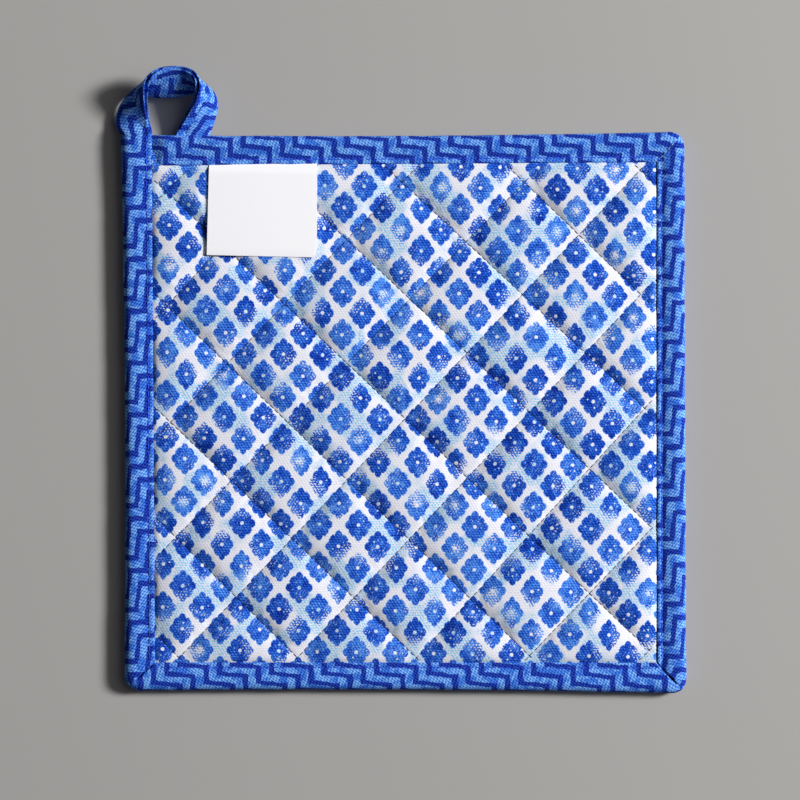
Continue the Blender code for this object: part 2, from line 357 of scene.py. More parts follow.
# %% Push of the upper cloth
PUSH = (0.22, 0.15)  # how far it is pushed over the falling and the rising seams, as a share of the gap
PUSH_REACH = 9.0  # how far in from the tape the push is whole


def pushed(x, y):
    """Sideways shift of the upper cloth: none on the seams and the edge, most in the middle of a puff."""
    falling, rising = levels_at(x, y)
    moved = place_at(*(
        level - share * np.sin(math.pi * (level - np.floor(level))) / math.pi
        for share, level in zip(PUSH, (falling, rising))
    ))
    free = np.clip(distance_inside(x, y) / PUSH_REACH, 0.0, 1.0)[:, None]
    return (np.column_stack(moved) - np.column_stack((x, y))) * free


push = pushed(pad_x, pad_y)
set_cloth_map(pad, flat_places[:, :2] + push)
print("largest push in mm:", round(float(np.linalg.norm(push, axis=1).max()), 2))

# %% [markdown]
# ## The pad: wadding, by cloth simulation
#
# The upper face is laid roughly in the shape of its puffs. Then Blender's cloth is pinned along all seams
# and blown up from below, with a little more cloth than the shape needs, so that it tightens over the
# puffs and puckers at the stitches. It runs at ten times the size, because cloth in Blender is tuned for
# larger things, and it comes to rest within a few frames. Wadding is firmer than air but thinner, so the
# shape is then pressed down to the height of the wadding.

# %% Rough shape of the puffs
SEAM_FLOOR = 4.9  # height of the upper face along the seams
PUFF = 2.8  # how much higher the middle of a puff is laid
EDGE_HEIGHT = 4.9  # of the upper face where the tape begins
HIDDEN_DIP, DIP_REACH = 0.7, 1.2  # how much lower it lies under the tape, and how far out it is there
ROLL, SLOPE = (0.45, 1.5), (0.55, 10.0)  # share of the rise from the tape, and how far in it ends
DOME_BREADTH, DOME_STEEPNESS = 2.4, 0.7


def dome(level):
    """Round rise and fall from one seam to the next."""
    off_middle = np.minimum(np.abs(2.0 * (level - np.floor(level)) - 1.0), 1.0)
    return (1.0 - off_middle**DOME_BREADTH) ** DOME_STEEPNESS


def edge_share(inside):
    """0 under the tape, 1 well inside it: a quick roll over the edge, then a slow slope."""
    return sum(
        share * (1.0 - (1.0 - np.clip(inside / reach, 0.0, 1.0)) ** 2) for share, reach in (ROLL, SLOPE)
    )


def with_edge(height, inside):
    """A height of the upper face brought down to the tape near the edge, and lower still under it."""
    dip = HIDDEN_DIP * np.clip(-inside / DIP_REACH, 0.0, 1.0)
    return EDGE_HEIGHT + (height - EDGE_HEIGHT) * edge_share(inside) - dip


pad_inside = distance_inside(pad_x, pad_y)
falling_level, rising_level = levels_at(pad_x, pad_y)
laid = np.column_stack((pad_x, pad_y, SEAM_FLOOR + PUFF * dome(falling_level) * dome(rising_level)))
print("laid height from", round(laid[:, 2].min(), 1), "to", round(laid[:, 2].max(), 1), "mm")

# %% Blow up the wadding
SIMULATION_SCALE = 10.0 * MM
ON_SEAM = 0.004  # how near to a whole level a point is sewn
FRAMES = 8
COTTON_CLOTH = {
    "quality": 5,
    "mass": 0.01,
    "tension_stiffness": 15.0,
    "compression_stiffness": 15.0,
    "shear_stiffness": 7.5,
    "bending_stiffness": 0.3,
    "air_damping": 2.0,
    "use_pressure": True,
    "uniform_pressure_force": 5.0,
    "shrink_min": -0.02,  # below 0: this much more cloth than the laid shape has
}


def apply_modifier(piece, modifier):
    """Applies a modifier as its Apply button does."""
    select_only(piece)
    bpy.ops.object.modifier_apply(modifier=modifier.name)


def blow_up(piece, places, held):
    """Runs the cloth from these places, with the held points pinned, and returns where it comes to rest."""
    move_points(piece, places * SIMULATION_SCALE)
    group = piece.vertex_groups.new(name="sewn")
    group.add([int(index) for index in np.nonzero(held)[0]], 1.0, "REPLACE")
    cloth = piece.modifiers.new("wadding", "CLOTH")
    for setting, value in COTTON_CLOTH.items():
        setattr(cloth.settings, setting, value)
    cloth.settings.effector_weights.gravity = 0.0
    cloth.settings.vertex_group_mass = group.name
    cloth.collision_settings.use_collision = False
    cloth.point_cache.frame_end = FRAMES
    for step in range(1, FRAMES + 1):
        bpy.context.scene.frame_set(step)
    apply_modifier(piece, cloth)
    piece.vertex_groups.clear()
    bpy.context.scene.frame_set(1)
    return points_of(piece) / SIMULATION_SCALE


if pad.data.polygons[0].normal.z < 0.0:
    in_edit_mode(pad, bpy.ops.mesh.flip_normals)
off_seam = np.minimum(
    np.abs(falling_level - np.rint(falling_level)), np.abs(rising_level - np.rint(rising_level))
)
sewn = (off_seam < ON_SEAM) | (pad_inside < 0.0)
puffed = blow_up(pad, laid, sewn)
print("blown up to", round(puffed[:, 2].max(), 1), "mm; sewn points:", int(sewn.sum()))

# %% [markdown]
# ## The pad: under the label
#
# The label is nearly flat and lies lower than the puffs would stand, so it presses them down. Its place
# is therefore settled before the puffs are. Around the label they are free to rise again.

# %% Where the label lies
LABEL_LEFT, LABEL_RIGHT, LABEL_TOP = -70.4, -31.5, 92.5
LABEL_BOTTOM = (56.8, 55.9)
LABEL_WIDTH, LABEL_LENGTH = 39.0, 36.0
LABEL_HEIGHT = 6.15  # of its middle layer, at the left
LABEL_RISE, LABEL_BEND, LABEL_LIFT = 0.8, 0.3, 0.15  # up to the right, bent there, and up towards its fold
CAUGHT_HEIGHT, CAUGHT_SLOPE = 4.85, 0.9  # where the tape holds it, and how it comes up from there


def label_height(x, y):
    """Height of the middle of the folded label: nearly flat, and down under the tape at its top."""
    right, down = (x - LABEL_LEFT) / LABEL_WIDTH, (LABEL_TOP - y) / LABEL_LENGTH
    flat_part = LABEL_HEIGHT + LABEL_RISE * right - LABEL_BEND * right**2 + LABEL_LIFT * down
    return np.minimum(flat_part, CAUGHT_HEIGHT + CAUGHT_SLOPE * np.maximum(distance_inside(x, y), 0.0))


def off_label(x, y):
    """How far outside the label points are."""
    sideways = np.maximum(np.maximum(LABEL_LEFT - x, x - LABEL_RIGHT), 0.0)
    return np.hypot(sideways, np.maximum(LABEL_BOTTOM[1] - y, 0.0))


lower_right = float(label_height(LABEL_RIGHT, LABEL_BOTTOM[1]))
print("label's height in mm at its lower right:", round(lower_right, 2))

# %% Press the puffs to the height of the wadding
HIGHEST_PUFF = 6.55
FLATTENING = 1.25  # above 1, the tops are pressed flatter than the sides
UNDER_LABEL = 0.3  # how far the puffs stay below the middle of the label
FREED = 0.3  # how much higher they may stand for each millimetre away from it

blown = np.maximum(puffed[:, 2] - SEAM_FLOOR, 0.0) / (puffed[:, 2].max() - SEAM_FLOOR)
pressed = SEAM_FLOOR + (HIGHEST_PUFF - SEAM_FLOOR) * (1.0 - (1.0 - blown) ** FLATTENING)
puffed[:, :2] += push
raised = with_edge(pressed, distance_inside(puffed[:, 0], puffed[:, 1]))
pressed_by_label = label_height(pad_x, pad_y) - UNDER_LABEL + FREED * off_label(pad_x, pad_y)
puffed[:, 2] = np.minimum(raised, pressed_by_label)
move_points(pad, puffed)
print("heights in mm, highest and middling:", np.round((puffed[:, 2].max(), np.median(puffed[:, 2])), 2))

# %% [markdown]
# ## The pad: its lower face
#
# Underneath, the same seams draw the cloth up in shallow channels, and the puffs lie flat on the table.
# The lower face is a copy of the upper one with its own heights. The two are bridged under the tape,
# where nobody sees the raw edges, and the pad is one closed body.

# %% Lower face, bridged to the upper one
CHANNEL = 1.3  # depth of the channels underneath
FLAT_FULLNESS = 0.42  # a puff fuller than this is pressed flat on the table


def join_pieces(pieces, name):
    """Joins pieces into the first of them."""
    select_only(*pieces)
    bpy.ops.object.join()
    pieces[0].name = pieces[0].data.name = name
    return pieces[0]


select_only(pad)
bpy.ops.object.duplicate()
lower_face = bpy.context.object
full_below = dome(falling_level) * dome(rising_level) * edge_share(pad_inside)
below = CHANNEL * np.maximum(1.0 - full_below / FLAT_FULLNESS, 0.0)
move_points(lower_face, np.column_stack((pad_x, pad_y, below)))
in_edit_mode(lower_face, bpy.ops.mesh.flip_normals)
join_pieces([pad, lower_face], "padded_square")
bpy.ops.object.mode_set(mode="EDIT")
bpy.ops.mesh.select_all(action="DESELECT")
bpy.ops.mesh.select_non_manifold()
bpy.ops.mesh.bridge_edge_loops()
bpy.ops.object.mode_set(mode="OBJECT")
bpy.ops.object.shade_smooth()
print("faces of the closed pad:", len(pad.data.polygons))

# %% Crease along the seams
creased = 0
crease_level = np.concatenate((np.column_stack((falling_level, rising_level)),) * 2)
for cloth_edge in pad.data.edges:
    ends = crease_level[list(cloth_edge.vertices)]
    if np.any(np.all(np.abs(ends - np.rint(ends)) < ON_SEAM, axis=0)):
        cloth_edge.use_edge_sharp = True
        creased += 1
print("edges creased along the seams:", creased)

seat(pad)
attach(pad, "root")
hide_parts("quilted_pad")
print("size of the pad in mm:", [round(1000 * s, 1) for s in pad.dimensions])

# %% [markdown]
# ## Helpers for materials
#
# Each cloth is a chain of small sums on its UV map: where am I on the roll, how far from the nearest
# flower or stripe, is there ink here. This class adds one node at a time and returns its output, so that
# the chain reads like a recipe.


# %% Recipe for a material
DULL = 0.06  # cotton hardly shines


class Recipe:
    """A material's nodes, added one after another."""

    def __init__(self, name):
        self.material = bpy.data.materials.new(name)
        self.material.use_nodes = True
        self.nodes = self.material.node_tree.nodes
        self.links = self.material.node_tree.links
        self.shader = self.nodes["Principled BSDF"]

    def feed(self, socket, value):
        """Links a socket to an output, or sets it to a number or colour."""
        if isinstance(value, bpy.types.NodeSocket):
            self.links.new(value, socket)
        elif value is not None:
            socket.default_value = value

    def add(self, kind, *values, **settings):
        """Adds a node with these settings and feeds its first sockets in their order."""
        made = self.nodes.new("ShaderNode" + kind)
        for setting, value in settings.items():
            setattr(made, setting, value)
        for socket, value in zip(made.inputs, values):
            self.feed(socket, value)
        return made

    def sum(self, operation, *values):
        """One Math node."""
        return self.add("Math", *values, operation=operation).outputs[0]

    def plus(self, *values):
        return self.sum("ADD", *values)

    def minus(self, *values):
        return self.sum("SUBTRACT", *values)

    def times(self, *values):
        return self.sum("MULTIPLY", *values)

    def times_plus(self, *values):
        """The first value times the second, plus the third."""
        return self.sum("MULTIPLY_ADD", *values)

    def shift(self, operation, *values):
        """One Vector Math node; a length or a dot product comes out as a number."""
        made = self.add("VectorMath", *values, operation=operation)
        return made.outputs["Value" if operation in ("LENGTH", "DOT_PRODUCT") else "Vector"]

    def parts(self, vector):
        """The three numbers of a vector or colour."""
        return self.add("SeparateXYZ", vector).outputs

    def step(self, value, low, high):
        """0 where the value is below low, 1 above high, and a smooth rise between."""
        return self.add("MapRange", value, low, high, interpolation_type="SMOOTHSTEP").outputs[0]

    def mix(self, kind, share, first, second):
        """A Mix node for COLOR or VECTOR."""
        data_type, first_socket, output = {"COLOR": ("RGBA", 6, 2), "VECTOR": ("VECTOR", 4, 1)}[kind]
        made = self.add("Mix", share, data_type=data_type)
        self.feed(made.inputs[first_socket], first)
        self.feed(made.inputs[first_socket + 1], second)
        return made.outputs[output]

    def cloud(self, place, scale, detail=2.0, three=False):
        """Soft noise: a number from 0 to 1, or three of them."""
        made = self.add("TexNoise", place, noise_dimensions="2D")
        made.inputs["Scale"].default_value = scale
        made.inputs["Detail"].default_value = detail
        return made.outputs["Color"] if three else made.outputs[0]

    def cloth_place(self):
        """The place on the flat cloth, in millimetres."""
        in_metres = self.add("UVMap", uv_map="cloth").outputs[0]
        return self.shift("MULTIPLY", in_metres, (1.0 / MM, 1.0 / MM, 0.0))

    def bump(self, height, distance, strength=1.0):
        """Feeds the shader a relief."""
        made = self.add("Bump", strength, distance)
        self.feed(made.inputs["Height"], height)
        self.links.new(made.outputs[0], self.shader.inputs["Normal"])

    def finish(self, colour, roughness, sheen=0.0, shine=DULL):
        """Feeds the shader its colour and sets how the cloth takes light."""
        self.feed(self.shader.inputs["Base Color"], colour)
        self.shader.inputs["Roughness"].default_value = roughness
        self.shader.inputs["Specular IOR Level"].default_value = shine
        self.shader.inputs["Sheen Weight"].default_value = sheen
        self.shader.inputs["Sheen Roughness"].default_value = 0.5
        return self.material


def paint(red, green, blue):
    """A colour given as on a screen, 0 to 255, for a shader."""
    return tuple(((c / 255.0 + 0.055) / 1.055) ** 2.4 for c in (red, green, blue)) + (1.0,)


def wear(piece, material):
    """Gives a piece this one material."""
    piece.data.materials.clear()
    piece.data.materials.append(material)


print("white on a screen is", paint(255, 255, 255), "in a shader")


# %% [markdown]
# ## The printed cotton: its rows of flowers
#
# A white twill is printed with small flowers of eight petals in staggered rows. They could be painted on
# an image, but a sum stays sharp at any distance. The cloth is folded into cells: one lattice of cells has
# its flowers at the whole numbers and the other at the halves, and the nearer flower counts. White noise
# gives each flower three random numbers of its own, for its shade, its width and which side is dry.

# %% Rows of flowers
PRINT_TURN = math.radians(0.92)
PRINT_START = (-15.0, 66.2)  # a flower near the top
COLUMN, ROW = 13.98, 15.27
FLOWER = (4.75, 5.6)  # half its width and half its height
HALF_CELL = (0.5, 0.5, 0.0)

cotton = Recipe("printed_cotton")
roll = cotton.cloth_place()
turned = cotton.add("Mapping", cotton.shift("SUBTRACT", roll, (*PRINT_START, 0.0)))
turned.inputs["Rotation"].default_value = (0.0, 0.0, PRINT_TURN)
cells = cotton.shift("DIVIDE", turned.outputs[0], (COLUMN, ROW, 1.0))
corner_number = cotton.shift("FLOOR", cotton.shift("ADD", cells, HALF_CELL))
centre_number = cotton.shift("ADD", cotton.shift("FLOOR", cells), HALF_CELL)
corner_place = cotton.shift("SUBTRACT", cells, corner_number)
centre_place = cotton.shift("SUBTRACT", cells, centre_number)
off_corner, off_centre = cotton.shift("LENGTH", corner_place), cotton.shift("LENGTH", centre_place)
nearer = cotton.sum("LESS_THAN", off_corner, off_centre)
in_cell = cotton.mix("VECTOR", nearer, centre_place, corner_place)
number = cotton.mix("VECTOR", nearer, centre_number, corner_number)
in_flower = cotton.shift("MULTIPLY", in_cell, (COLUMN, ROW, 0.0))
flower_x, flower_y, _ = cotton.parts(in_flower)
chance = cotton.parts(cotton.add("TexWhiteNoise", number).outputs["Color"])
print("flower", FLOWER, "mm in cells of", COLUMN, "by", ROW, "mm")

# %% [markdown]
# ## The printed cotton: a flower's outline
#
# Round a flower, the edge of the ink moves out at each petal and in at each notch. The cosine of four
# times the angle has eight crests once its sign is taken away, and that makes eight petals. A little
# noise frays the edge, as ink does on cloth, and some flowers came out slimmer than the others.

# %% Outline of a flower
LOBES = 4.0  # waves round a flower; crests and valleys both make petals
NOTCH, PETAL = 0.715, 0.215  # how far out the notches are, and how much further the petals reach
LONGER = 0.075  # by how much four of the petals are longer, and the four between them shorter
BLUNTNESS = 0.5  # of the petals: the lower, the blunter
SLIM_FROM, SLIM_TO, SLIMMER = 0.62, 0.9, 0.16  # chances from which a flower is slimmer, and how much
FRAY_SCALE, FRAY = 1.6, 0.12
SOFT_EDGE = 0.05

narrowing = cotton.times(cotton.step(chance[1], SLIM_FROM, SLIM_TO), SLIMMER)
width = cotton.add("CombineXYZ", cotton.minus(1.0, narrowing), 1.0, 1.0).outputs[0]
scaled = cotton.shift("DIVIDE", cotton.shift("DIVIDE", in_flower, (*FLOWER, 1.0)), width)
scaled_x, scaled_y, _ = cotton.parts(scaled)
wave = cotton.sum("COSINE", cotton.times(LOBES, cotton.sum("ARCTAN2", scaled_y, scaled_x)))
petal = cotton.sum("POWER", cotton.sum("ABSOLUTE", wave), BLUNTNESS)
outline = cotton.times_plus(cotton.times_plus(wave, LONGER, PETAL), petal, NOTCH)
fray = cotton.times_plus(cotton.cloud(roll, FRAY_SCALE, 1.0), FRAY, -FRAY / 2.0)
edge = cotton.minus(cotton.plus(outline, fray), cotton.shift("LENGTH", scaled))
flower = cotton.step(edge, -SOFT_EDGE, SOFT_EDGE)
print("petals of a flower:", round(2.0 * LOBES))

# %% [markdown]
# ## The printed cotton: its weave
#
# The slanting lines of a twill and the rows of its weft lie over each other and are a millimetre apart or
# so. Two sine waves give them, and noise makes the yarn uneven. The same two helpers weave the tape later.
# The weave feeds the colour, the relief and the specks of dry ink, so that all three agree. In the colour
# its hollows are painted darker and its crowns lighter: painted shade and highlight of the threads.

# %% Threads of a weave
YARN_SCALE, YARN = 1.7, 0.9  # uneven yarn: how fine and how strong


def woven(recipe, place, twill, weft, twill_share):
    """Light and dark of a weave: two sets of lines, in waves per millimetre, that lie over each other."""
    x, y, _ = recipe.parts(place)
    lines = []
    for waves in (twill, weft):
        turns = recipe.times_plus(x, waves[0], recipe.times(y, waves[1]))
        wave = recipe.sum("SINE", recipe.times(turns, 2.0 * math.pi))
        lines.append(recipe.times_plus(wave, 0.5, 0.5))
    return recipe.times_plus(lines[0], twill_share, recipe.times(lines[1], 1.0 - twill_share))


def with_yarn(recipe, threads, place):
    """The same weave of yarn that is thicker here and thinner there."""
    yarn = recipe.cloud(place, YARN_SCALE, 1.0)
    return recipe.plus(threads, recipe.times_plus(yarn, YARN, -YARN / 2.0))


TWILL, WEFT = (0.886, 0.526), (0.02, 1.107)
TWILL_SHARE = 0.52
threads = woven(cotton, roll, TWILL, WEFT, TWILL_SHARE)
weave = with_yarn(cotton, threads, roll)
print("threads per centimetre:", round(10.0 * WEFT[1], 1))

# %% [markdown]
# ## The printed cotton: where the ink is dry
#
# The ink was dabbed on. One side of a flower is often dry, and there the ink breaks up into specks that
# follow the weave. Dryness rises towards that side, in patches of the cloth, and in the middle of a few
# flowers. Where it passes the height of the specks, the cloth stays white. Each flower has a white heart,
# and some have a thin ring of stamens round it.

# %% Dry side and specks
DRIER, DRIER_BY_CHANCE = 0.008, 0.08  # for each millimetre towards the dry side
PATCH_SCALE, PATCH = 0.17, 0.5  # larger patches where the cloth took less ink
OPEN_FLOWERS, OPEN_REACH, OPEN_DRYNESS = 0.9, (3.0, 0.8), 0.3  # a few are dry round their middle
SPECK_STRETCH, SPECK_SCALE = (0.85, 1.2, 0.0), 1.8
SPECKS, THREAD_SPECKS, SPECK_LEVEL = 0.7, 0.42, -0.06
DRY_EDGE = (-0.06, 0.13)

lean = cotton.times(chance[0], 2.0 * math.pi)
up_lean = cotton.times(flower_y, cotton.sum("SINE", lean))
dry_side = cotton.times_plus(flower_x, cotton.sum("COSINE", lean), up_lean)
patch = cotton.times(cotton.cloud(roll, PATCH_SCALE), PATCH)
dryness = cotton.times_plus(dry_side, cotton.times_plus(chance[1], DRIER_BY_CHANCE, DRIER), patch)
from_heart = cotton.shift("LENGTH", in_flower)
opened = cotton.sum("GREATER_THAN", chance[2], OPEN_FLOWERS)
open_heart = cotton.times(opened, cotton.step(from_heart, *OPEN_REACH))
dryness = cotton.plus(dryness, cotton.times(open_heart, OPEN_DRYNESS))
specks = cotton.cloud(cotton.shift("MULTIPLY", roll, SPECK_STRETCH), SPECK_SCALE, 1.0)
specks = cotton.times_plus(specks, SPECKS, cotton.times_plus(threads, THREAD_SPECKS, SPECK_LEVEL))
dry = cotton.step(cotton.minus(dryness, specks), *DRY_EDGE)
print("nodes up to the specks:", len(cotton.nodes))

# %% White heart and its ring
HEART = (0.78, 0.52)  # how far from the middle the ink begins to fade, and how far it is gone
HEART_FRAY = 2.5
RING, RING_EDGE = 2.25, (0.42, 0.2)  # how far from the middle the ring is, and where it fades
STAMENS, STAMEN_EDGE = 9.0, (0.2, 0.6)
RING_SCALE, RING_PATCHES = 0.4, (0.52, 0.72)  # only some flowers show it

stamen = cotton.times_plus(cotton.sum("ARCTAN2", flower_y, flower_x), STAMENS, lean)
off_ring = cotton.sum("ABSOLUTE", cotton.minus(from_heart, RING))
ring = cotton.times(
    cotton.step(cotton.sum("COSINE", stamen), *STAMEN_EDGE), cotton.step(off_ring, *RING_EDGE)
)
ring = cotton.times(ring, cotton.step(cotton.cloud(roll, RING_SCALE), *RING_PATCHES))
heart = cotton.step(cotton.plus(from_heart, cotton.times(fray, HEART_FRAY)), *HEART)
bare = cotton.sum("MAXIMUM", cotton.sum("MAXIMUM", dry, heart), ring)
ink = cotton.times(flower, cotton.minus(1.0, bare))
print("ring of stamens", 2.0 * RING, "mm across")

# %% [markdown]
# ## The printed cotton: its colours
#
# The blue runs from ink to sky, from flower to flower and within one. Thin ink at a flower's edge is a
# lighter blue. A faint turquoise wash lies here and there on the white ground.

# %% Colours of the cotton
INK_DEEP, INK_BLUE, INK_SKY = paint(8, 32, 132), paint(25, 80, 194), paint(88, 150, 234)
THIN_INK = paint(122, 164, 230)
WHITE, GREY, WASH = paint(231, 231, 238), paint(211, 214, 231), paint(92, 180, 222)
# by thread, the ink is painted lighter on the weave's crowns and darker in its hollows: painted light
SHADE_BY_CHANCE, SHADE_BY_PLACE, SHADE_BY_THREAD = 0.5, (0.28, 1.2, -0.35), (0.9, -0.45)
TO_BLUE, TO_SKY = (-0.15, 0.5), (0.45, 1.15)  # shades between which the ink turns blue, and then sky
WASH_SCALE, WASH_PLACES, WASH_STRENGTH = 0.07, (0.46, 0.60), 0.85
WASH_SPECK_SCALE, WASH_THREADS, WASH_SPECKS = 1.5, 0.4, (0.38, 0.64)
# the grey of the ground in the weave's hollows is painted shade
THREAD_SHADES = (0.1, 0.75)  # of the weave, between which the ground turns from grey to white
THIN_EDGE, FULL_EDGE = (0.0, 0.5), (0.4, 1.0)  # of the ink, between which it turns thin, and then full
COTTON_RELIEF, COTTON_ROUGHNESS = (0.00006, 0.45), 0.9

place_scale, *place_shade = SHADE_BY_PLACE
shade = cotton.times_plus(cotton.cloud(roll, place_scale), *place_shade)
shade = cotton.plus(cotton.times(chance[2], SHADE_BY_CHANCE), shade)
# painted highlight and shade of the weave on the ink
shade = cotton.plus(shade, cotton.times_plus(weave, *SHADE_BY_THREAD))
ink_colour = cotton.mix("COLOR", cotton.step(shade, *TO_BLUE), INK_DEEP, INK_BLUE)
ink_colour = cotton.mix("COLOR", cotton.step(shade, *TO_SKY), ink_colour, INK_SKY)
wash_noise, wash_threads = cotton.cloud(roll, WASH_SPECK_SCALE), cotton.times(threads, WASH_THREADS)
wash_specks = cotton.step(cotton.times_plus(wash_noise, 1.0 - WASH_THREADS, wash_threads), *WASH_SPECKS)
wash_here = cotton.times(cotton.step(cotton.cloud(roll, WASH_SCALE), *WASH_PLACES), wash_specks)
# painted shade: the ground is grey in the weave's hollows and white on its crowns
ground = cotton.mix("COLOR", cotton.step(weave, *THREAD_SHADES), GREY, WHITE)
ground = cotton.mix("COLOR", cotton.times(wash_here, WASH_STRENGTH), ground, WASH)
colour = cotton.mix("COLOR", cotton.step(ink, *THIN_EDGE), ground, THIN_INK)
colour = cotton.mix("COLOR", cotton.step(ink, *FULL_EDGE), colour, ink_colour)
cotton.bump(weave, *COTTON_RELIEF)
wear(pad, cotton.finish(colour, COTTON_ROUGHNESS))
print("nodes in the printed cotton:", len(cotton.nodes))

# %% [markdown]
# ## The tape: how it is folded
#
# The tape is one strip, folded in along both long edges and then folded over the edge of the pad. In
# section it is a C with a round nose and a broad back. From the back a long slope runs down to the groove
# where the tape is stitched, and beyond the groove it rises steeply to a rim, with the turned-in edge
# below. The loop is the same C closed flat. So one table of shares and rises serves both: a share runs
# from the folded edge (0) to the stitched edge (1), and a rise runs from the middle plane (0) to the back
# (1).

# %% Section of the folded tape
GROOVE_AT = 0.825
IN_GROOVE, AT_EDGE = (GROOVE_AT, 0.855), (1.0, 0.72)
TAPE_BACK = (
    (0.012, 0.32), (0.045, 0.59), (0.10, 0.81), (0.17, 0.94), (0.26, 0.995), (0.36, 1.0), (0.46, 0.98),
    (0.56, 0.945), (0.65, 0.91), (0.72, 0.885), (0.77, 0.87), (0.80, 0.86), IN_GROOVE, (0.85, 0.85),
    (0.88, 0.845), (0.91, 0.84), (0.94, 0.835), (0.97, 0.81), (0.99, 0.77), AT_EDGE, (0.988, 0.68),
    (0.95, 0.66), (0.85, 0.62), (0.70, 0.54), (0.50, 0.44),
)
FOLD = len(TAPE_BACK)  # number of the folded edge in the section
SECTION = np.array([(share, -rise) for share, rise in reversed(TAPE_BACK)] + [(0.0, 0.0)] + list(TAPE_BACK))
UPPER_GROOVE = FOLD + 1 + TAPE_BACK.index(IN_GROOVE)
LOWER_GROOVE = FOLD - 1 - TAPE_BACK.index(IN_GROOVE)
# the upper and lower skins, without the edges turned in under them
SKIN = np.abs(np.arange(len(SECTION)) - FOLD) <= TAPE_BACK.index(AT_EDGE)
GROOVE_BREADTH = (0.11, 0.035)  # a long slope from the back, and a steep rise to the rim
RIM_FROM, RIM_REACH = 0.86, 0.1
TAPE_BREADTH = 10.8
HALF_HEIGHT = 2.87  # of the tape on the pad

section_steps = np.hypot(np.diff(SECTION[:, 0] * TAPE_BREADTH), np.diff(SECTION[:, 1] * HALF_HEIGHT))
DEVELOPED = np.concatenate(([0.0], np.cumsum(section_steps)))
DEVELOPED -= DEVELOPED[FOLD]  # measured from the fold, positive on the upper face


def limited(value, low=0.0, high=1.0):
    """A number kept between two others."""
    return min(max(value, low), high)


def pulled_in(place_in_section, share, depth, rim=0.0):
    """How far the stitches pull the tape in at this place, and its rim down, as a rise."""
    breadth = GROOVE_BREADTH[int(share > GROOVE_AT)]
    groove = depth * math.exp(-(((share - GROOVE_AT) / breadth) ** 2))
    return SKIN[place_in_section] * (groove + rim * limited((share - RIM_FROM) / RIM_REACH))


print("width of the strip as folded:", round(float(DEVELOPED[-1] - DEVELOPED[0]), 1), "mm")

# %% [markdown]
# ## The tape: round the square
#
# Each side is its own grid, which is rolled into the section station by station. Near a corner the
# stations fan round to the mitre, and there the tape turns down into the fold: a fine open line that
# closes before it reaches the rounded corner. Each mitre of a hand-sewn holder gapes by its own amount.
# The top side starts under the left one, which runs over it and on into the loop.

# %% Stations along a side
SPACING = 1.1
LIP = (0.0, 0.12, 0.3, 0.55, 0.9, 1.4, 2.1)  # stations next to a mitre, from the fold
PAST_LIP = LIP[-1] + 0.5  # where the even stations begin
FAN = 24.0  # how far from a mitre the stations still fan
TOP_START = 4.5  # the top side begins this far in, under the left one


def bezier(start, corner, end, t):
    """A point on the round of a corner."""
    return start * (1.0 - t) ** 2 + corner * 2.0 * t * (1.0 - t) + end * t**2


def outer_point(side, distance, length, along):
    """A point on the outer edge, at this distance from the side's first corner, round the corners' arcs."""
    for corner, gone, back in ((side, distance, along), ((side + 1) % 4, length - distance, -along)):
        radius = ROUNDING[corner]
        if gone < radius:
            neighbour = OUTER[corner - 1] if back is along else OUTER[(corner + 1) % 4]
            span = neighbour - OUTER[corner]
            other = OUTER[corner] + radius * span / np.linalg.norm(span)
            near = OUTER[corner] + radius * back
            return bezier(other, OUTER[corner], near, 0.5 + 0.5 * gone / radius)
    share = distance / length
    inwards = np.array((along[1], -along[0]))
    return OUTER[side] + along * distance + inwards * SAG[side] * 4.0 * share * (1.0 - share)


def side_stations(side, mitred_start, mitred_end, start_cut=0.0):
    """Rows of outer x, y, inner x, y and the distances to the side's two mitres."""
    span = OUTER[(side + 1) % 4] - OUTER[side]
    length = float(np.linalg.norm(span))
    along = span / length
    inner_start = float((INNER[side] - OUTER[side]) @ along)
    inner_end = float((INNER[(side + 1) % 4] - OUTER[side]) @ along)
    count = round((length - start_cut) / SPACING)
    distances = set(np.linspace(start_cut, length, count + 1).tolist())
    if mitred_start:
        distances = {distance for distance in distances if distance > PAST_LIP} | set(LIP)
    if mitred_end:
        distances = {distance for distance in distances if distance < length - PAST_LIP}
        distances |= {length - distance for distance in LIP}
    rows = []
    for distance in sorted(distances):
        inner_along = distance
        if mitred_start and distance < FAN:
            inner_along = inner_start + distance * (FAN - inner_start) / FAN
        if mitred_end and distance > length - FAN:
            short = length - inner_end
            inner_along = inner_end - (length - distance) * (FAN - short) / FAN
        share = (inner_along - inner_start) / (inner_end - inner_start)
        outer = outer_point(side, distance, length, along)
        inner = INNER[side] + (INNER[(side + 1) % 4] - INNER[side]) * share
        to_start = distance if mitred_start else length
        to_end = length - distance if mitred_end else length
        rows.append((*outer, *inner, to_start, to_end))
    return np.array(rows), along


print("stations on the top side:", len(side_stations(0, False, True, TOP_START)[0]))

# %% Roll a strip into its section
# at each mitre, for the side that ends and the side that starts: how wide it gapes, how far it turns down
GAPE = {"top_right": (-0.22, 0.15), "bottom_right": (0.9, 0.9), "bottom_left": (0.16, 0.16)}
TUCK = {"top_right": (-0.05, 0.14), "bottom_right": (0.38, 0.38), "bottom_left": (0.30, 0.30)}
MITRES = set(GAPE)
TUCK_REACH = 1.1
CLOSED_BELOW, OPEN_ABOVE = 0.16, 0.42  # shares of the width between which a mitre opens
GROOVE_DEPTH = (0.06, 0.16, 0.06, 0.06)  # on each side, as a share of half the height
RIM_PRESSED = (0.0, 0.07, 0.0, 0.0)
# where a long riser falls along each side, how far in its first tread runs, and how the tape is stretched
STRIPES = ((114.5, 0.75, 0.989), (76.1, 1.0, 1.0), (116.6, 2.4, 1.0), (118.4, 1.2, 0.99))
RISER_AT = 9.45  # where that riser is on the flat strip
NOSE = 1.9  # of tape in the round nose, more than is seen from above
# an unevenness of sewn tape: how much, its seed and how long its waves are in millimetres
OUTER_EDGE_UNEVEN, BACK_UNEVEN, SKIN_UNEVEN = (0.22, 3.0, 14.0), (0.05, 8.0, 9.0), (0.10, 5.0, 4.0)
LOWEST_TAPE = 0.02


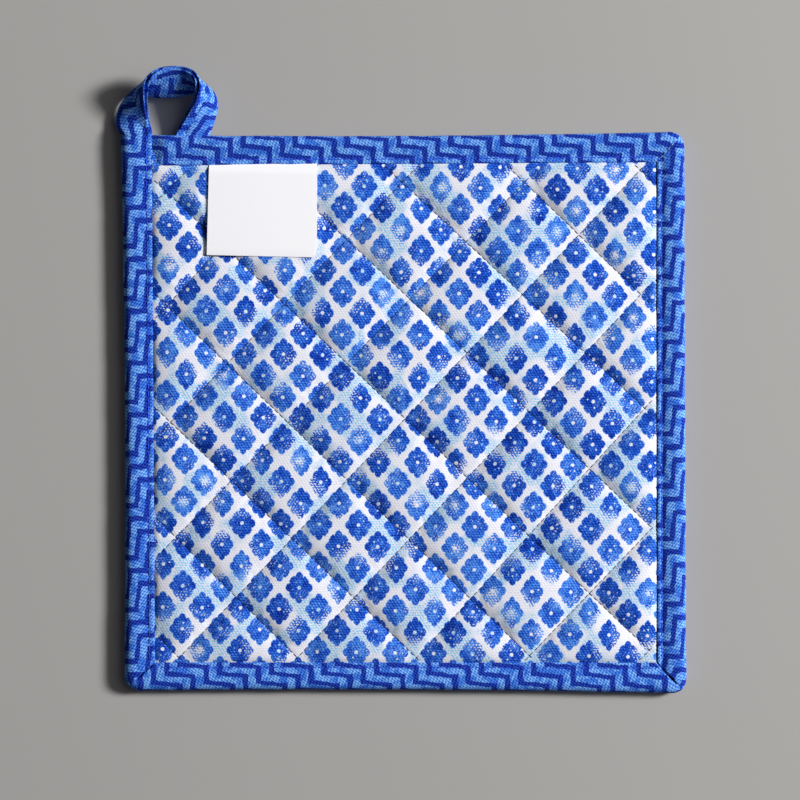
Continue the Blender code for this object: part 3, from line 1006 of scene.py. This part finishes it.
def eased(value):
    """A number kept between 0 and 1, with a slow start and a slow end."""
    share = limited(value)
    return share * share * (3.0 - 2.0 * share)


def ripple(x, y, uneven):
    """A gentle unevenness at a point of the tape."""
    much, seed, size = uneven
    return much * noise.noise(Vector((x / size, y / size, seed)))


def strip_place(side, gone, developed):
    """A point's place on the flat strip, counted from a riser of the stripe."""
    riser, first_tread, stretch = STRIPES[side]
    return (gone - riser) / stretch + RISER_AT, developed - NOSE - first_tread


def side_strip(side, start_cut=0.0, lift=None):
    """One side of the bound edge as a grid rolled round the pad, with its stitched grooves and its end."""
    corners = list(CORNERS)
    start_name, end_name = corners[side], corners[(side + 1) % 4]
    rows, along = side_stations(side, start_name in MITRES, end_name in MITRES, start_cut)
    places, flat = [], []
    for outer_x, outer_y, inner_x, inner_y, from_start, from_end in rows:
        outer, inner = np.array((outer_x, outer_y)), np.array((inner_x, inner_y))
        wobble = ripple(outer_x, outer_y, OUTER_EDGE_UNEVEN)
        outer = outer + (inner - outer) / np.linalg.norm(inner - outer) * wobble
        back = 1.0 + ripple(outer_x, outer_y, BACK_UNEVEN)
        corner_ends = (start_name, from_start, along, 1), (end_name, from_end, -along, 0)
        for place_in_section, ((share, rise), developed) in enumerate(zip(SECTION, DEVELOPED)):
            opened = eased((share - CLOSED_BELOW) / (OPEN_ABOVE - CLOSED_BELOW))
            spot = outer + (inner - outer) * share
            pulled = pulled_in(place_in_section, share, GROOVE_DEPTH[side], RIM_PRESSED[side])
            height = back * (rise - math.copysign(pulled, rise))
            for name, gone, way, part in corner_ends:
                if gone < TUCK_REACH and name in MITRES:
                    fall = (1.0 - gone / TUCK_REACH) ** 2
                    spot = spot + way * GAPE[name][part] / ROOT2 * opened * fall
                    height *= 1.0 - TUCK[name][part] * opened * fall
            z = HALF_HEIGHT * (1.0 + height)
            z += ripple(spot[0], spot[1], SKIN_UNEVEN) * abs(rise)
            if lift is not None:
                z = lift(spot, z, share, rise)
            places.append((spot[0], spot[1], max(z, LOWEST_TAPE)))
            run = float((outer + (inner - outer) * share - OUTER[side]) @ along)
            flat.append(strip_place(side, run, developed))
    strip = flat_grid(f"tape_side_{side}", len(SECTION) - 1, len(rows) - 1)
    move_points(strip, places)
    set_cloth_map(strip, flat)
    places = np.array(places).reshape(len(rows), len(SECTION), 3)
    return {
        "piece": strip,
        "upper_groove": places[:, UPPER_GROOVE],
        "lower_groove": places[:, LOWER_GROOVE],
        "end": places[-1],
    }


print("mitres:", sorted(MITRES))

# %% [markdown]
# ## The tape: four sides joined
#
# The top side's end is pressed flat where the left side lies on it, and the left side's upper skin climbs
# over it. The four strips become one piece, whose points are merged where two sides share the fold of a
# mitre. A solidify modifier then gives the tape its thickness.

# %% The four sides
SAME_POINT = 0.004
CLIMB_FROM, CLIMB_REACH, CLIMB = 80.0, 9.0, 0.75  # where the left side climbs, over what length, how far
CLIMB_AT_FOLD = 0.35  # share of the climb at the folded edge
PRESSED_UP_TO, FREE_FROM, FREE_REACH = -86.0, -91.2, 4.5  # along the top side, from left to right
PRESSED_TO, PRESSED_SHARE = 0.9, 0.62  # height it is pressed towards, and what is left of the rest


def over_top_tape(spot, z, share, rise):
    """The left side's upper skin rises over the end of the top side."""
    near = limited((spot[1] - CLIMB_FROM) / CLIMB_REACH)
    return z + CLIMB * near * max(rise, 0.0) * (CLIMB_AT_FOLD + (1.0 - CLIMB_AT_FOLD) * share)


def under_left_tape(spot, z, share, rise):
    """The end of the top side is pressed flat under the left one."""
    if spot[0] >= PRESSED_UP_TO or rise <= 0.0:
        return z
    free = limited((spot[0] - FREE_FROM) / FREE_REACH)
    return PRESSED_TO + (z - PRESSED_TO) * (PRESSED_SHARE + (1.0 - PRESSED_SHARE) * free)


top_side = side_strip(0, TOP_START, under_left_tape)
right_side, bottom_side = side_strip(1), side_strip(2)
left_side = side_strip(3, lift=over_top_tape)
tape_sides = [top_side, right_side, bottom_side, left_side]
binding = join_pieces([side["piece"] for side in tape_sides], "edge_tape")
in_edit_mode(binding, lambda: bpy.ops.mesh.remove_doubles(threshold=SAME_POINT))
print("binding faces before it gets its thickness:", len(binding.data.polygons))

# %% Thickness of the tape
TAPE_THICKNESS = 0.3


def thicken(piece, thickness, offset=-1.0, even=True):
    """Gives a sheet its thickness: inwards, or with an offset of 0 to both sides."""
    modifier = piece.modifiers.new("thickness", "SOLIDIFY")
    modifier.thickness = thickness
    modifier.offset = offset
    modifier.use_quality_normals = even
    apply_modifier(piece, modifier)
    bpy.ops.object.shade_smooth()
    return piece


seat(thicken(binding, TAPE_THICKNESS))
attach(binding, "root")
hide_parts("binding")
print("binding faces:", len(binding.data.polygons))

# %% [markdown]
# ## The hanging loop
#
# Past the top left corner there is no pad in the tape any more. It closes flat, is stitched to itself,
# turns over onto its edge as it rises, and comes back down to go in under the top side. Two lines guide
# it: the stitched edge, which is uppermost in the bow, and the folded edge. Its two turned-in edges lie
# side by side along the stitched edge, with a dark groove between them.

# %% The loop's two edges
LOOP_ROWS = np.array((  # stitched edge x, y, z, folded edge x, y, z
    (-91.4, 100.35, 2.87, -102.6, 100.35, 2.87),
    (-92.1, 104.0, 4.3, -104.3, 103.2, 2.3),
    (-92.6, 108.0, 6.8, -104.7, 106.4, 1.8),
    (-92.9, 113.6, 10.0, -102.2, 112.0, 1.6),
    (-92.0, 119.4, 12.3, -96.8, 115.8, 1.7),
    (-88.2, 122.9, 12.0, -90.4, 113.8, 2.9),
    (-82.0, 123.8, 11.6, -83.0, 113.6, 3.6),
    (-76.7, 122.4, 12.2, -76.0, 115.2, 2.9),
    (-74.3, 118.4, 12.2, -70.0, 116.0, 1.7),
    (-75.6, 112.4, 9.6, -67.5, 111.4, 1.6),
    (-79.6, 105.8, 5.4, -68.7, 105.0, 1.8),
    (-82.6, 100.8, 3.0, -70.3, 100.8, 2.2),
    (-84.0, 97.0, 2.8, -71.6, 97.0, 2.6),
))
LOOP_STEPS = 7  # smooth rows from one of these to the next


def smooth_rows(rows, count):
    """Catmull-Rom points through the rows of a table."""
    ends = np.vstack((2 * rows[0] - rows[1], rows, 2 * rows[-1] - rows[-2]))
    smooth = []
    for index in range(1, len(ends) - 2):
        a, b, c, d = ends[index - 1 : index + 3]
        for step in range(count):
            t = step / count
            smooth.append(0.5 * (
                2 * b + (c - a) * t + (2 * a - 5 * b + 4 * c - d) * t**2 + (3 * b - a - 3 * c + d) * t**3
            ))
    return np.array(smooth + [ends[-2]])


def distances_along(line):
    """How far along a line of points each of them is."""
    return np.concatenate(([0.0], np.cumsum(np.linalg.norm(np.diff(line, axis=0), axis=1))))


loop_lines = smooth_rows(LOOP_ROWS, LOOP_STEPS)
stitched, folded = loop_lines[:, :3], loop_lines[:, 3:]
loop_centre = (stitched + folded) / 2.0
loop_gone = distances_along(loop_centre)
print("length of the loop:", round(float(loop_gone[-1]), 1), "mm")

# %% Roll the loop
LOOP_HALF = 1.2  # half the thickness of the closed tape
CLOSING = 1.6  # rows over which it closes
PUCKER, PUCKER_ALONG, PUCKER_ACROSS = (0.08, 2.0, 3.5), 0.9, 8.0  # small creases of the closed tape
GROOVE_OPEN, GROOVE_CLOSED = 0.15, 0.2  # depth where the loop starts, and more where it has closed
LOWEST_LOOP = 0.05

loop = flat_grid("loop_of_tape", len(SECTION) - 1, len(loop_lines) - 1)
left_length = float(np.linalg.norm(OUTER[0] - OUTER[3]))
loop_places, loop_flat = [], []
root_step = []  # from the loop's own section to the end of the left side, which it carries on
last_row = len(loop_centre) - 1
for index in range(last_row + 1):
    ahead = loop_centre[min(index + 1, last_row)] - loop_centre[max(index - 1, 0)]
    if index == 0:
        ahead = np.array((0.0, 1.0, 0.0))
    across = stitched[index] - folded[index]
    outwards = np.cross(across, ahead)
    outwards = outwards / np.linalg.norm(outwards)
    closed = eased(index / (CLOSING * LOOP_STEPS))
    half = HALF_HEIGHT * (1.0 - closed) + LOOP_HALF * closed
    for number_across, ((share, rise), developed) in enumerate(zip(SECTION, DEVELOPED)):
        spot = folded[index] + across * share
        puckered = 1.0 + closed * ripple(index * PUCKER_ALONG, share * PUCKER_ACROSS, PUCKER)
        pulled = pulled_in(number_across, share, GROOVE_OPEN + GROOVE_CLOSED * closed)
        place = spot + outwards * half * (rise - math.copysign(pulled, rise)) * puckered
        if index == 0:
            root_step.append(left_side["end"][number_across] - place)
        place = place + root_step[number_across] * (1.0 - closed)
        loop_places.append((place[0], place[1], max(place[2], LOWEST_LOOP)))
        loop_flat.append(strip_place(3, left_length + loop_gone[index], developed))
move_points(loop, loop_places)
set_cloth_map(loop, loop_flat)
loop_groove = np.array(loop_places).reshape(len(loop_centre), len(SECTION), 3)[:, UPPER_GROOVE]
seat(thicken(loop, TAPE_THICKNESS))
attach(loop, "root")
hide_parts("hanging_loop")
print("loop faces:", len(loop.data.polygons))

# %% [markdown]
# ## The tape's stripe
#
# The tape is a light blue twill with a dark zigzag of right-angled steps: a tread along the tape, then a
# riser towards the stitched edge, then a tread again. All treads lie on rows, and all risers on columns.
# On a row every other stretch is dark, and from row to row the dark stretch moves by half a tread; the
# columns do the same. So two small sums find the stripe. The treads slope a little, and the lines waver
# as woven lines do. Twill lines cross the tape slantwise.

# %% Zigzag of the tape
TREAD_ROW, RISER_COLUMN = 3.45, 4.725  # from one row of treads, or column of risers, to the next
TREAD_HALF, RISER_HALF = 0.85, 0.98  # half the thickness of the dark lines
TREAD_SLOPE = 0.13
LINE_EDGE = 0.12  # softness of their edges
LINE_WANDER = 0.38  # how fine their unevenness is


def dark_line(tape, place, other, line_kind, other_kind, offset=0.0, slope=0.0):
    """Dark where place is near a line and the stretch of that line is a dark one."""
    spacing, half = line_kind
    other_spacing, other_half = other_kind
    repeat = 4.0 * other_spacing
    line = tape.sum("ROUND", tape.sum("DIVIDE", place, spacing))
    moved = tape.times_plus(line, other_spacing, tape.plus(other, offset + other_half))
    turn = tape.sum("FRACT", tape.sum("DIVIDE", moved, repeat))
    stretch = (2.0 * other_spacing + 2.0 * other_half) / repeat
    from_middle = tape.times(tape.minus(turn, stretch / 2.0), repeat * slope)
    away = tape.minus(place, tape.times_plus(line, spacing, from_middle))
    near = tape.step(tape.sum("ABSOLUTE", away), half + LINE_EDGE, half - LINE_EDGE)
    return tape.times(near, tape.sum("LESS_THAN", turn, stretch))


def zigzag(tape, strip):
    """1 in the dark stripe of the tape, 0 beside it."""
    wander = tape.shift("SUBTRACT", tape.cloud(strip, LINE_WANDER, three=True), (0.5, 0.5, 0.5))
    wander = tape.shift("MULTIPLY", wander, (1.0, 1.0, 0.0))
    along, inwards, _ = tape.parts(tape.shift("ADD", strip, wander))
    tread_end = TREAD_SLOPE * RISER_COLUMN  # a sloping tread meets its riser this much lower
    tread, riser = (TREAD_ROW, TREAD_HALF), (RISER_COLUMN, RISER_HALF)
    short_tread = (TREAD_ROW, TREAD_HALF - tread_end)
    treads = dark_line(tape, inwards, along, tread, riser, slope=TREAD_SLOPE)
    risers = dark_line(tape, along, inwards, riser, short_tread, offset=-2.0 * TREAD_ROW)
    return tape.sum("MAXIMUM", treads, risers)


print("stripe repeats every", 4 * RISER_COLUMN, "mm")

# %% Cloth of the tape
# each colour darker in the weave's hollows and lighter on its crowns: painted shade and highlight
TAPE_INK = (paint(4, 22, 112), paint(37, 70, 184))
TAPE_SKY = (paint(42, 104, 208), paint(134, 186, 242))
TAPE_MID = (paint(20, 68, 182), paint(72, 130, 222))
TAPE_TWILL, TAPE_WEFT, TAPE_TWILL_SHARE = (0.678, -0.90), (0.864, 0.26), 0.55
# shares of the weave between the painted shade of its hollows and the painted highlight of its crowns
CROWN = (0.15, 0.85)
SKY_SCALE, SKY_PLACES = 0.3, (0.36, 0.6)  # where the light blue is lightest
TAPE_RELIEF, TAPE_ROUGHNESS = (0.00008, 0.5), 0.9


def tape_cloth(name):
    """The tape's material; the binding and the loop have one each, of the same cloth."""
    tape = Recipe(name)
    strip = tape.cloth_place()
    dark = zigzag(tape, strip)
    weave = with_yarn(tape, woven(tape, strip, TAPE_TWILL, TAPE_WEFT, TAPE_TWILL_SHARE), strip)
    crown = tape.step(weave, *CROWN)
    sky, mid, ink = (tape.mix("COLOR", crown, *pair) for pair in (TAPE_SKY, TAPE_MID, TAPE_INK))
    light = tape.mix("COLOR", tape.step(tape.cloud(strip, SKY_SCALE), *SKY_PLACES), mid, sky)
    tape.bump(weave, *TAPE_RELIEF)
    return tape.finish(tape.mix("COLOR", dark, light, ink), TAPE_ROUGHNESS)


for piece, name in ((binding, "binding_tape"), (loop, "loop_tape")):
    wear(piece, tape_cloth(name))
print("materials of the tape:", binding.data.materials[0].name, loop.data.materials[0].name)

# %% [markdown]
# ## The label
#
# A white satin ribbon, folded double, hangs from under the top side and lies over the puffs. The fold is
# at its lower end, and the two ends are caught in the seam. It is one grid: down at the back, round the
# fold and up at the front.

# %% The folded label
RIBBON_COLUMNS, RIBBON_ROWS = 32, 64
RIBBON_HALF = 35.0  # of the ribbon's length
FOLD_SHARPNESS = 60.0
FRONT_LONGER, FRONT_LONGER_LEFT = 0.5, 0.4  # how far the front hangs below the back
SLANT_LEFT, SLANT_RIGHT = 0.9, 0.8  # of its left side, and of its lower right corner
TOP_CLOSER = 1.04  # above 1, rows are a little closer at the top
LAYER_GAP, LAYER_BULGE = 0.03, 0.12  # from the middle to each layer, and more between its ends
RIBBON_THICKNESS = 0.22
SHARP_FROM = math.radians(50.0)

label = flat_grid("folded_ribbon", RIBBON_COLUMNS, RIBBON_ROWS)
ribbon_places, ribbon_flat = [], []
for row in range(RIBBON_ROWS + 1):
    round_trip = 2.0 * row / RIBBON_ROWS  # 0 at the back's top, 1 at the fold, 2 at the front's top
    down = min(round_trip, 2.0 - round_trip)
    layer = limited((round_trip - 1.0) * FOLD_SHARPNESS, -1.0)  # -1 behind, 1 in front, 0 at the fold
    for column in range(RIBBON_COLUMNS + 1):
        share = column / RIBBON_COLUMNS
        bottom = LABEL_BOTTOM[0] + (LABEL_BOTTOM[1] - LABEL_BOTTOM[0]) * share
        bottom += FRONT_LONGER * (layer > 0.0) * (FRONT_LONGER_LEFT + share)
        slant = SLANT_LEFT * down * (1.0 - share) + SLANT_RIGHT * down**8 * share**3
        x = LABEL_LEFT + (LABEL_RIGHT - LABEL_LEFT) * share - slant
        y = LABEL_TOP + (bottom - LABEL_TOP) * (1.0 - (1.0 - down) ** TOP_CLOSER)
        off_middle = layer * (LAYER_GAP + LAYER_BULGE * math.sin(math.pi * down) ** 0.5)
        ribbon_places.append((x, y, float(label_height(x, y)) + off_middle))
        ribbon_flat.append((x - LABEL_LEFT, round_trip * RIBBON_HALF))
move_points(label, ribbon_places)
set_cloth_map(label, ribbon_flat)
thicken(label, RIBBON_THICKNESS, offset=0.0, even=False)
bpy.ops.object.shade_smooth_by_angle(angle=SHARP_FROM)
seat(label)
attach(label, "root")
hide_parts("label")
print("label faces:", len(label.data.polygons))

# %% Satin of the label
WARP, WEFT_ACROSS = (9.0, 0.5, 0.0), (0.4, 6.0, 0.0)  # long fine threads down, and others across
SATIN_SHADES = (paint(247, 248, 254), paint(252, 252, 255))
SATIN_RELIEF, SATIN_ROUGHNESS, SATIN_SHINE = (0.00003, 0.5), 0.42, 0.5

satin = Recipe("label_satin")
ribbon = satin.cloth_place()
down_threads, cross_threads = (
    satin.cloud(satin.shift("MULTIPLY", ribbon, fineness), 1.0) for fineness in (WARP, WEFT_ACROSS)
)
satin.bump(satin.plus(down_threads, cross_threads), *SATIN_RELIEF)
satin_colour = satin.mix("COLOR", down_threads, *SATIN_SHADES)
wear(label, satin.finish(satin_colour, SATIN_ROUGHNESS, shine=SATIN_SHINE))
print("nodes in the satin:", len(satin.nodes))

# %% [markdown]
# ## The stitches
#
# A dark thread runs along every quilting seam, on both faces, and a blue one along the groove of the tape
# and of the loop. A few pale stitches hold the mitre at the top right; they are a painted highlight,
# standing in for the lit edge of its fold. A stitch is a short piece of thread whose ends dip into the
# cloth. One is modelled from a coarse sphere, and copied along each seam.

# %% One stitch
STITCH_SIDES = 6
STITCH_DIP = 0.9  # of its two ends

bpy.ops.object.select_all(action="DESELECT")
bpy.ops.mesh.primitive_uv_sphere_add(
    segments=STITCH_SIDES, ring_count=STITCH_SIDES, radius=0.5, rotation=(0.0, math.pi / 2.0, 0.0)
)
stitch = bpy.context.object
bpy.ops.object.transform_apply(rotation=True)
stitch_points = points_of(stitch)
stitch_points[:, 2] -= STITCH_DIP * np.abs(stitch_points[:, 0]) ** 2
stitch_faces = [tuple(face.vertices) for face in stitch.data.polygons]
bpy.data.objects.remove(stitch)
print("faces of a stitch:", len(stitch_faces))

# %% Sewing cotton
STRANDS = (4000.0, 4000.0, 0.0)  # for each metre
STRAND_LIGHT = 1.8  # how much lighter a strand's crown is
THREAD_RELIEF, THREAD_ROUGHNESS, THREAD_SHEEN = (0.00004, 0.5), 0.7, 0.05


def thread_cotton(name, colour):
    """Twisted sewing cotton."""
    thread = Recipe(name)
    where = thread.add("TexCoord").outputs["Object"]
    strands = thread.cloud(thread.shift("MULTIPLY", where, STRANDS), 1.0)
    crown = tuple(min(1.0, STRAND_LIGHT * part) for part in colour)
    thread.bump(strands, *THREAD_RELIEF)
    return thread.finish(thread.mix("COLOR", strands, colour, crown), THREAD_ROUGHNESS, THREAD_SHEEN)


# %% Sew along lines
def sew(name, lines, stitch_length, gap, thread, slot, colour, up=1.0):
    """Copies the stitch along lines of points in millimetres, and joins the copies."""
    vertices, faces = [], []
    for line in lines:
        line = np.asarray(line, dtype=float)
        gone = distances_along(line)
        for start in np.arange(gap, gone[-1] - stitch_length, stitch_length + gap):
            first, last = (
                np.array([np.interp(place, gone, line[:, axis]) for axis in range(3)])
                for place in (start, start + stitch_length)
            )
            ahead = last - first
            sideways = np.cross((0.0, 0.0, up), ahead)
            sideways = sideways / np.linalg.norm(sideways) * thread
            upwards = np.cross(ahead, sideways)
            upwards = upwards / np.linalg.norm(upwards) * thread
            faces += [tuple(number + len(vertices) for number in face) for face in stitch_faces]
            vertices += list(
                (first + last) / 2.0 + stitch_points[:, :1] * ahead
                + stitch_points[:, 1:2] * sideways + stitch_points[:, 2:] * upwards
            )
    mesh = bpy.data.meshes.new(name)
    mesh.from_pydata([tuple(vertex) for vertex in vertices], [], faces)
    mesh.shade_smooth()
    made = bpy.data.objects.new(name, mesh)
    bpy.context.scene.collection.objects.link(made)
    seat(made)
    wear(made, thread_cotton(name, colour))
    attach(made, "root")
    print(name, "stitches:", len(vertices) // len(stitch_points))


# %% Quilting thread
QUILTING = (2.1, 0.3, 0.3, "printed_cotton", paint(22, 26, 70))  # stitch, gap, thickness, slot, colour
SEAM_STEP = 0.02  # of a gap between seams
OFF_TAPE = 0.4
FEWEST_STEPS = 8
ON_CLOTH, IN_CHANNEL = 0.04, 0.15  # how the thread lies on the upper face, and in the channels underneath

upper_lines, lower_lines = [], []
run = np.arange(-1.0, len(FALLING_SEAMS), SEAM_STEP)
for number_of_seam in range(-1, len(FALLING_SEAMS) + 1):
    on_seam = np.full_like(run, float(number_of_seam))
    for levels in ((on_seam, run), (run, on_seam)):
        x, y = place_at(*levels)
        kept = distance_inside(x, y) > OFF_TAPE
        if kept.sum() < FEWEST_STEPS:
            continue
        x, y = x[kept], y[kept]
        upper_z = with_edge(SEAM_FLOOR, distance_inside(x, y)) + ON_CLOTH
        upper_lines.append(np.column_stack((x, y, upper_z)))
        lower_lines.append(np.column_stack((x, y, np.full_like(x, CHANNEL - IN_CHANNEL))))
sew("quilting_thread", upper_lines, *QUILTING)
sew("quilting_thread_below", lower_lines, *QUILTING, up=-1.0)

# %% Edge thread
EDGE_SEAM = (2.2, 0.5, 0.4, "binding_tape", paint(40, 66, 190))
ON_TAPE = np.array((0.0, 0.0, 0.1))

edge_lines = [side["upper_groove"] + ON_TAPE for side in tape_sides] + [loop_groove]
sew("edge_thread", edge_lines, *EDGE_SEAM)
sew("edge_thread_below", [side["lower_groove"] - ON_TAPE for side in tape_sides], *EDGE_SEAM, up=-1.0)

# %% Painted highlight: pale thread along one mitre
# pale stitches on the ridge of the top right mitre: a painted highlight for the lit edge of its fold
MITRE_HIGHLIGHT_SEAM = (1.5, 0.45, 0.24, "binding_tape", paint(136, 170, 240))
RIDGE = slice(UPPER_GROOVE - 10, UPPER_GROOVE + 5)  # from the back of the tape to its rim
ON_RIDGE = (0.0, 0.0, 0.12)

sew("mitre_highlight_thread", [top_side["end"][RIDGE] + ON_RIDGE], *MITRE_HIGHLIGHT_SEAM)
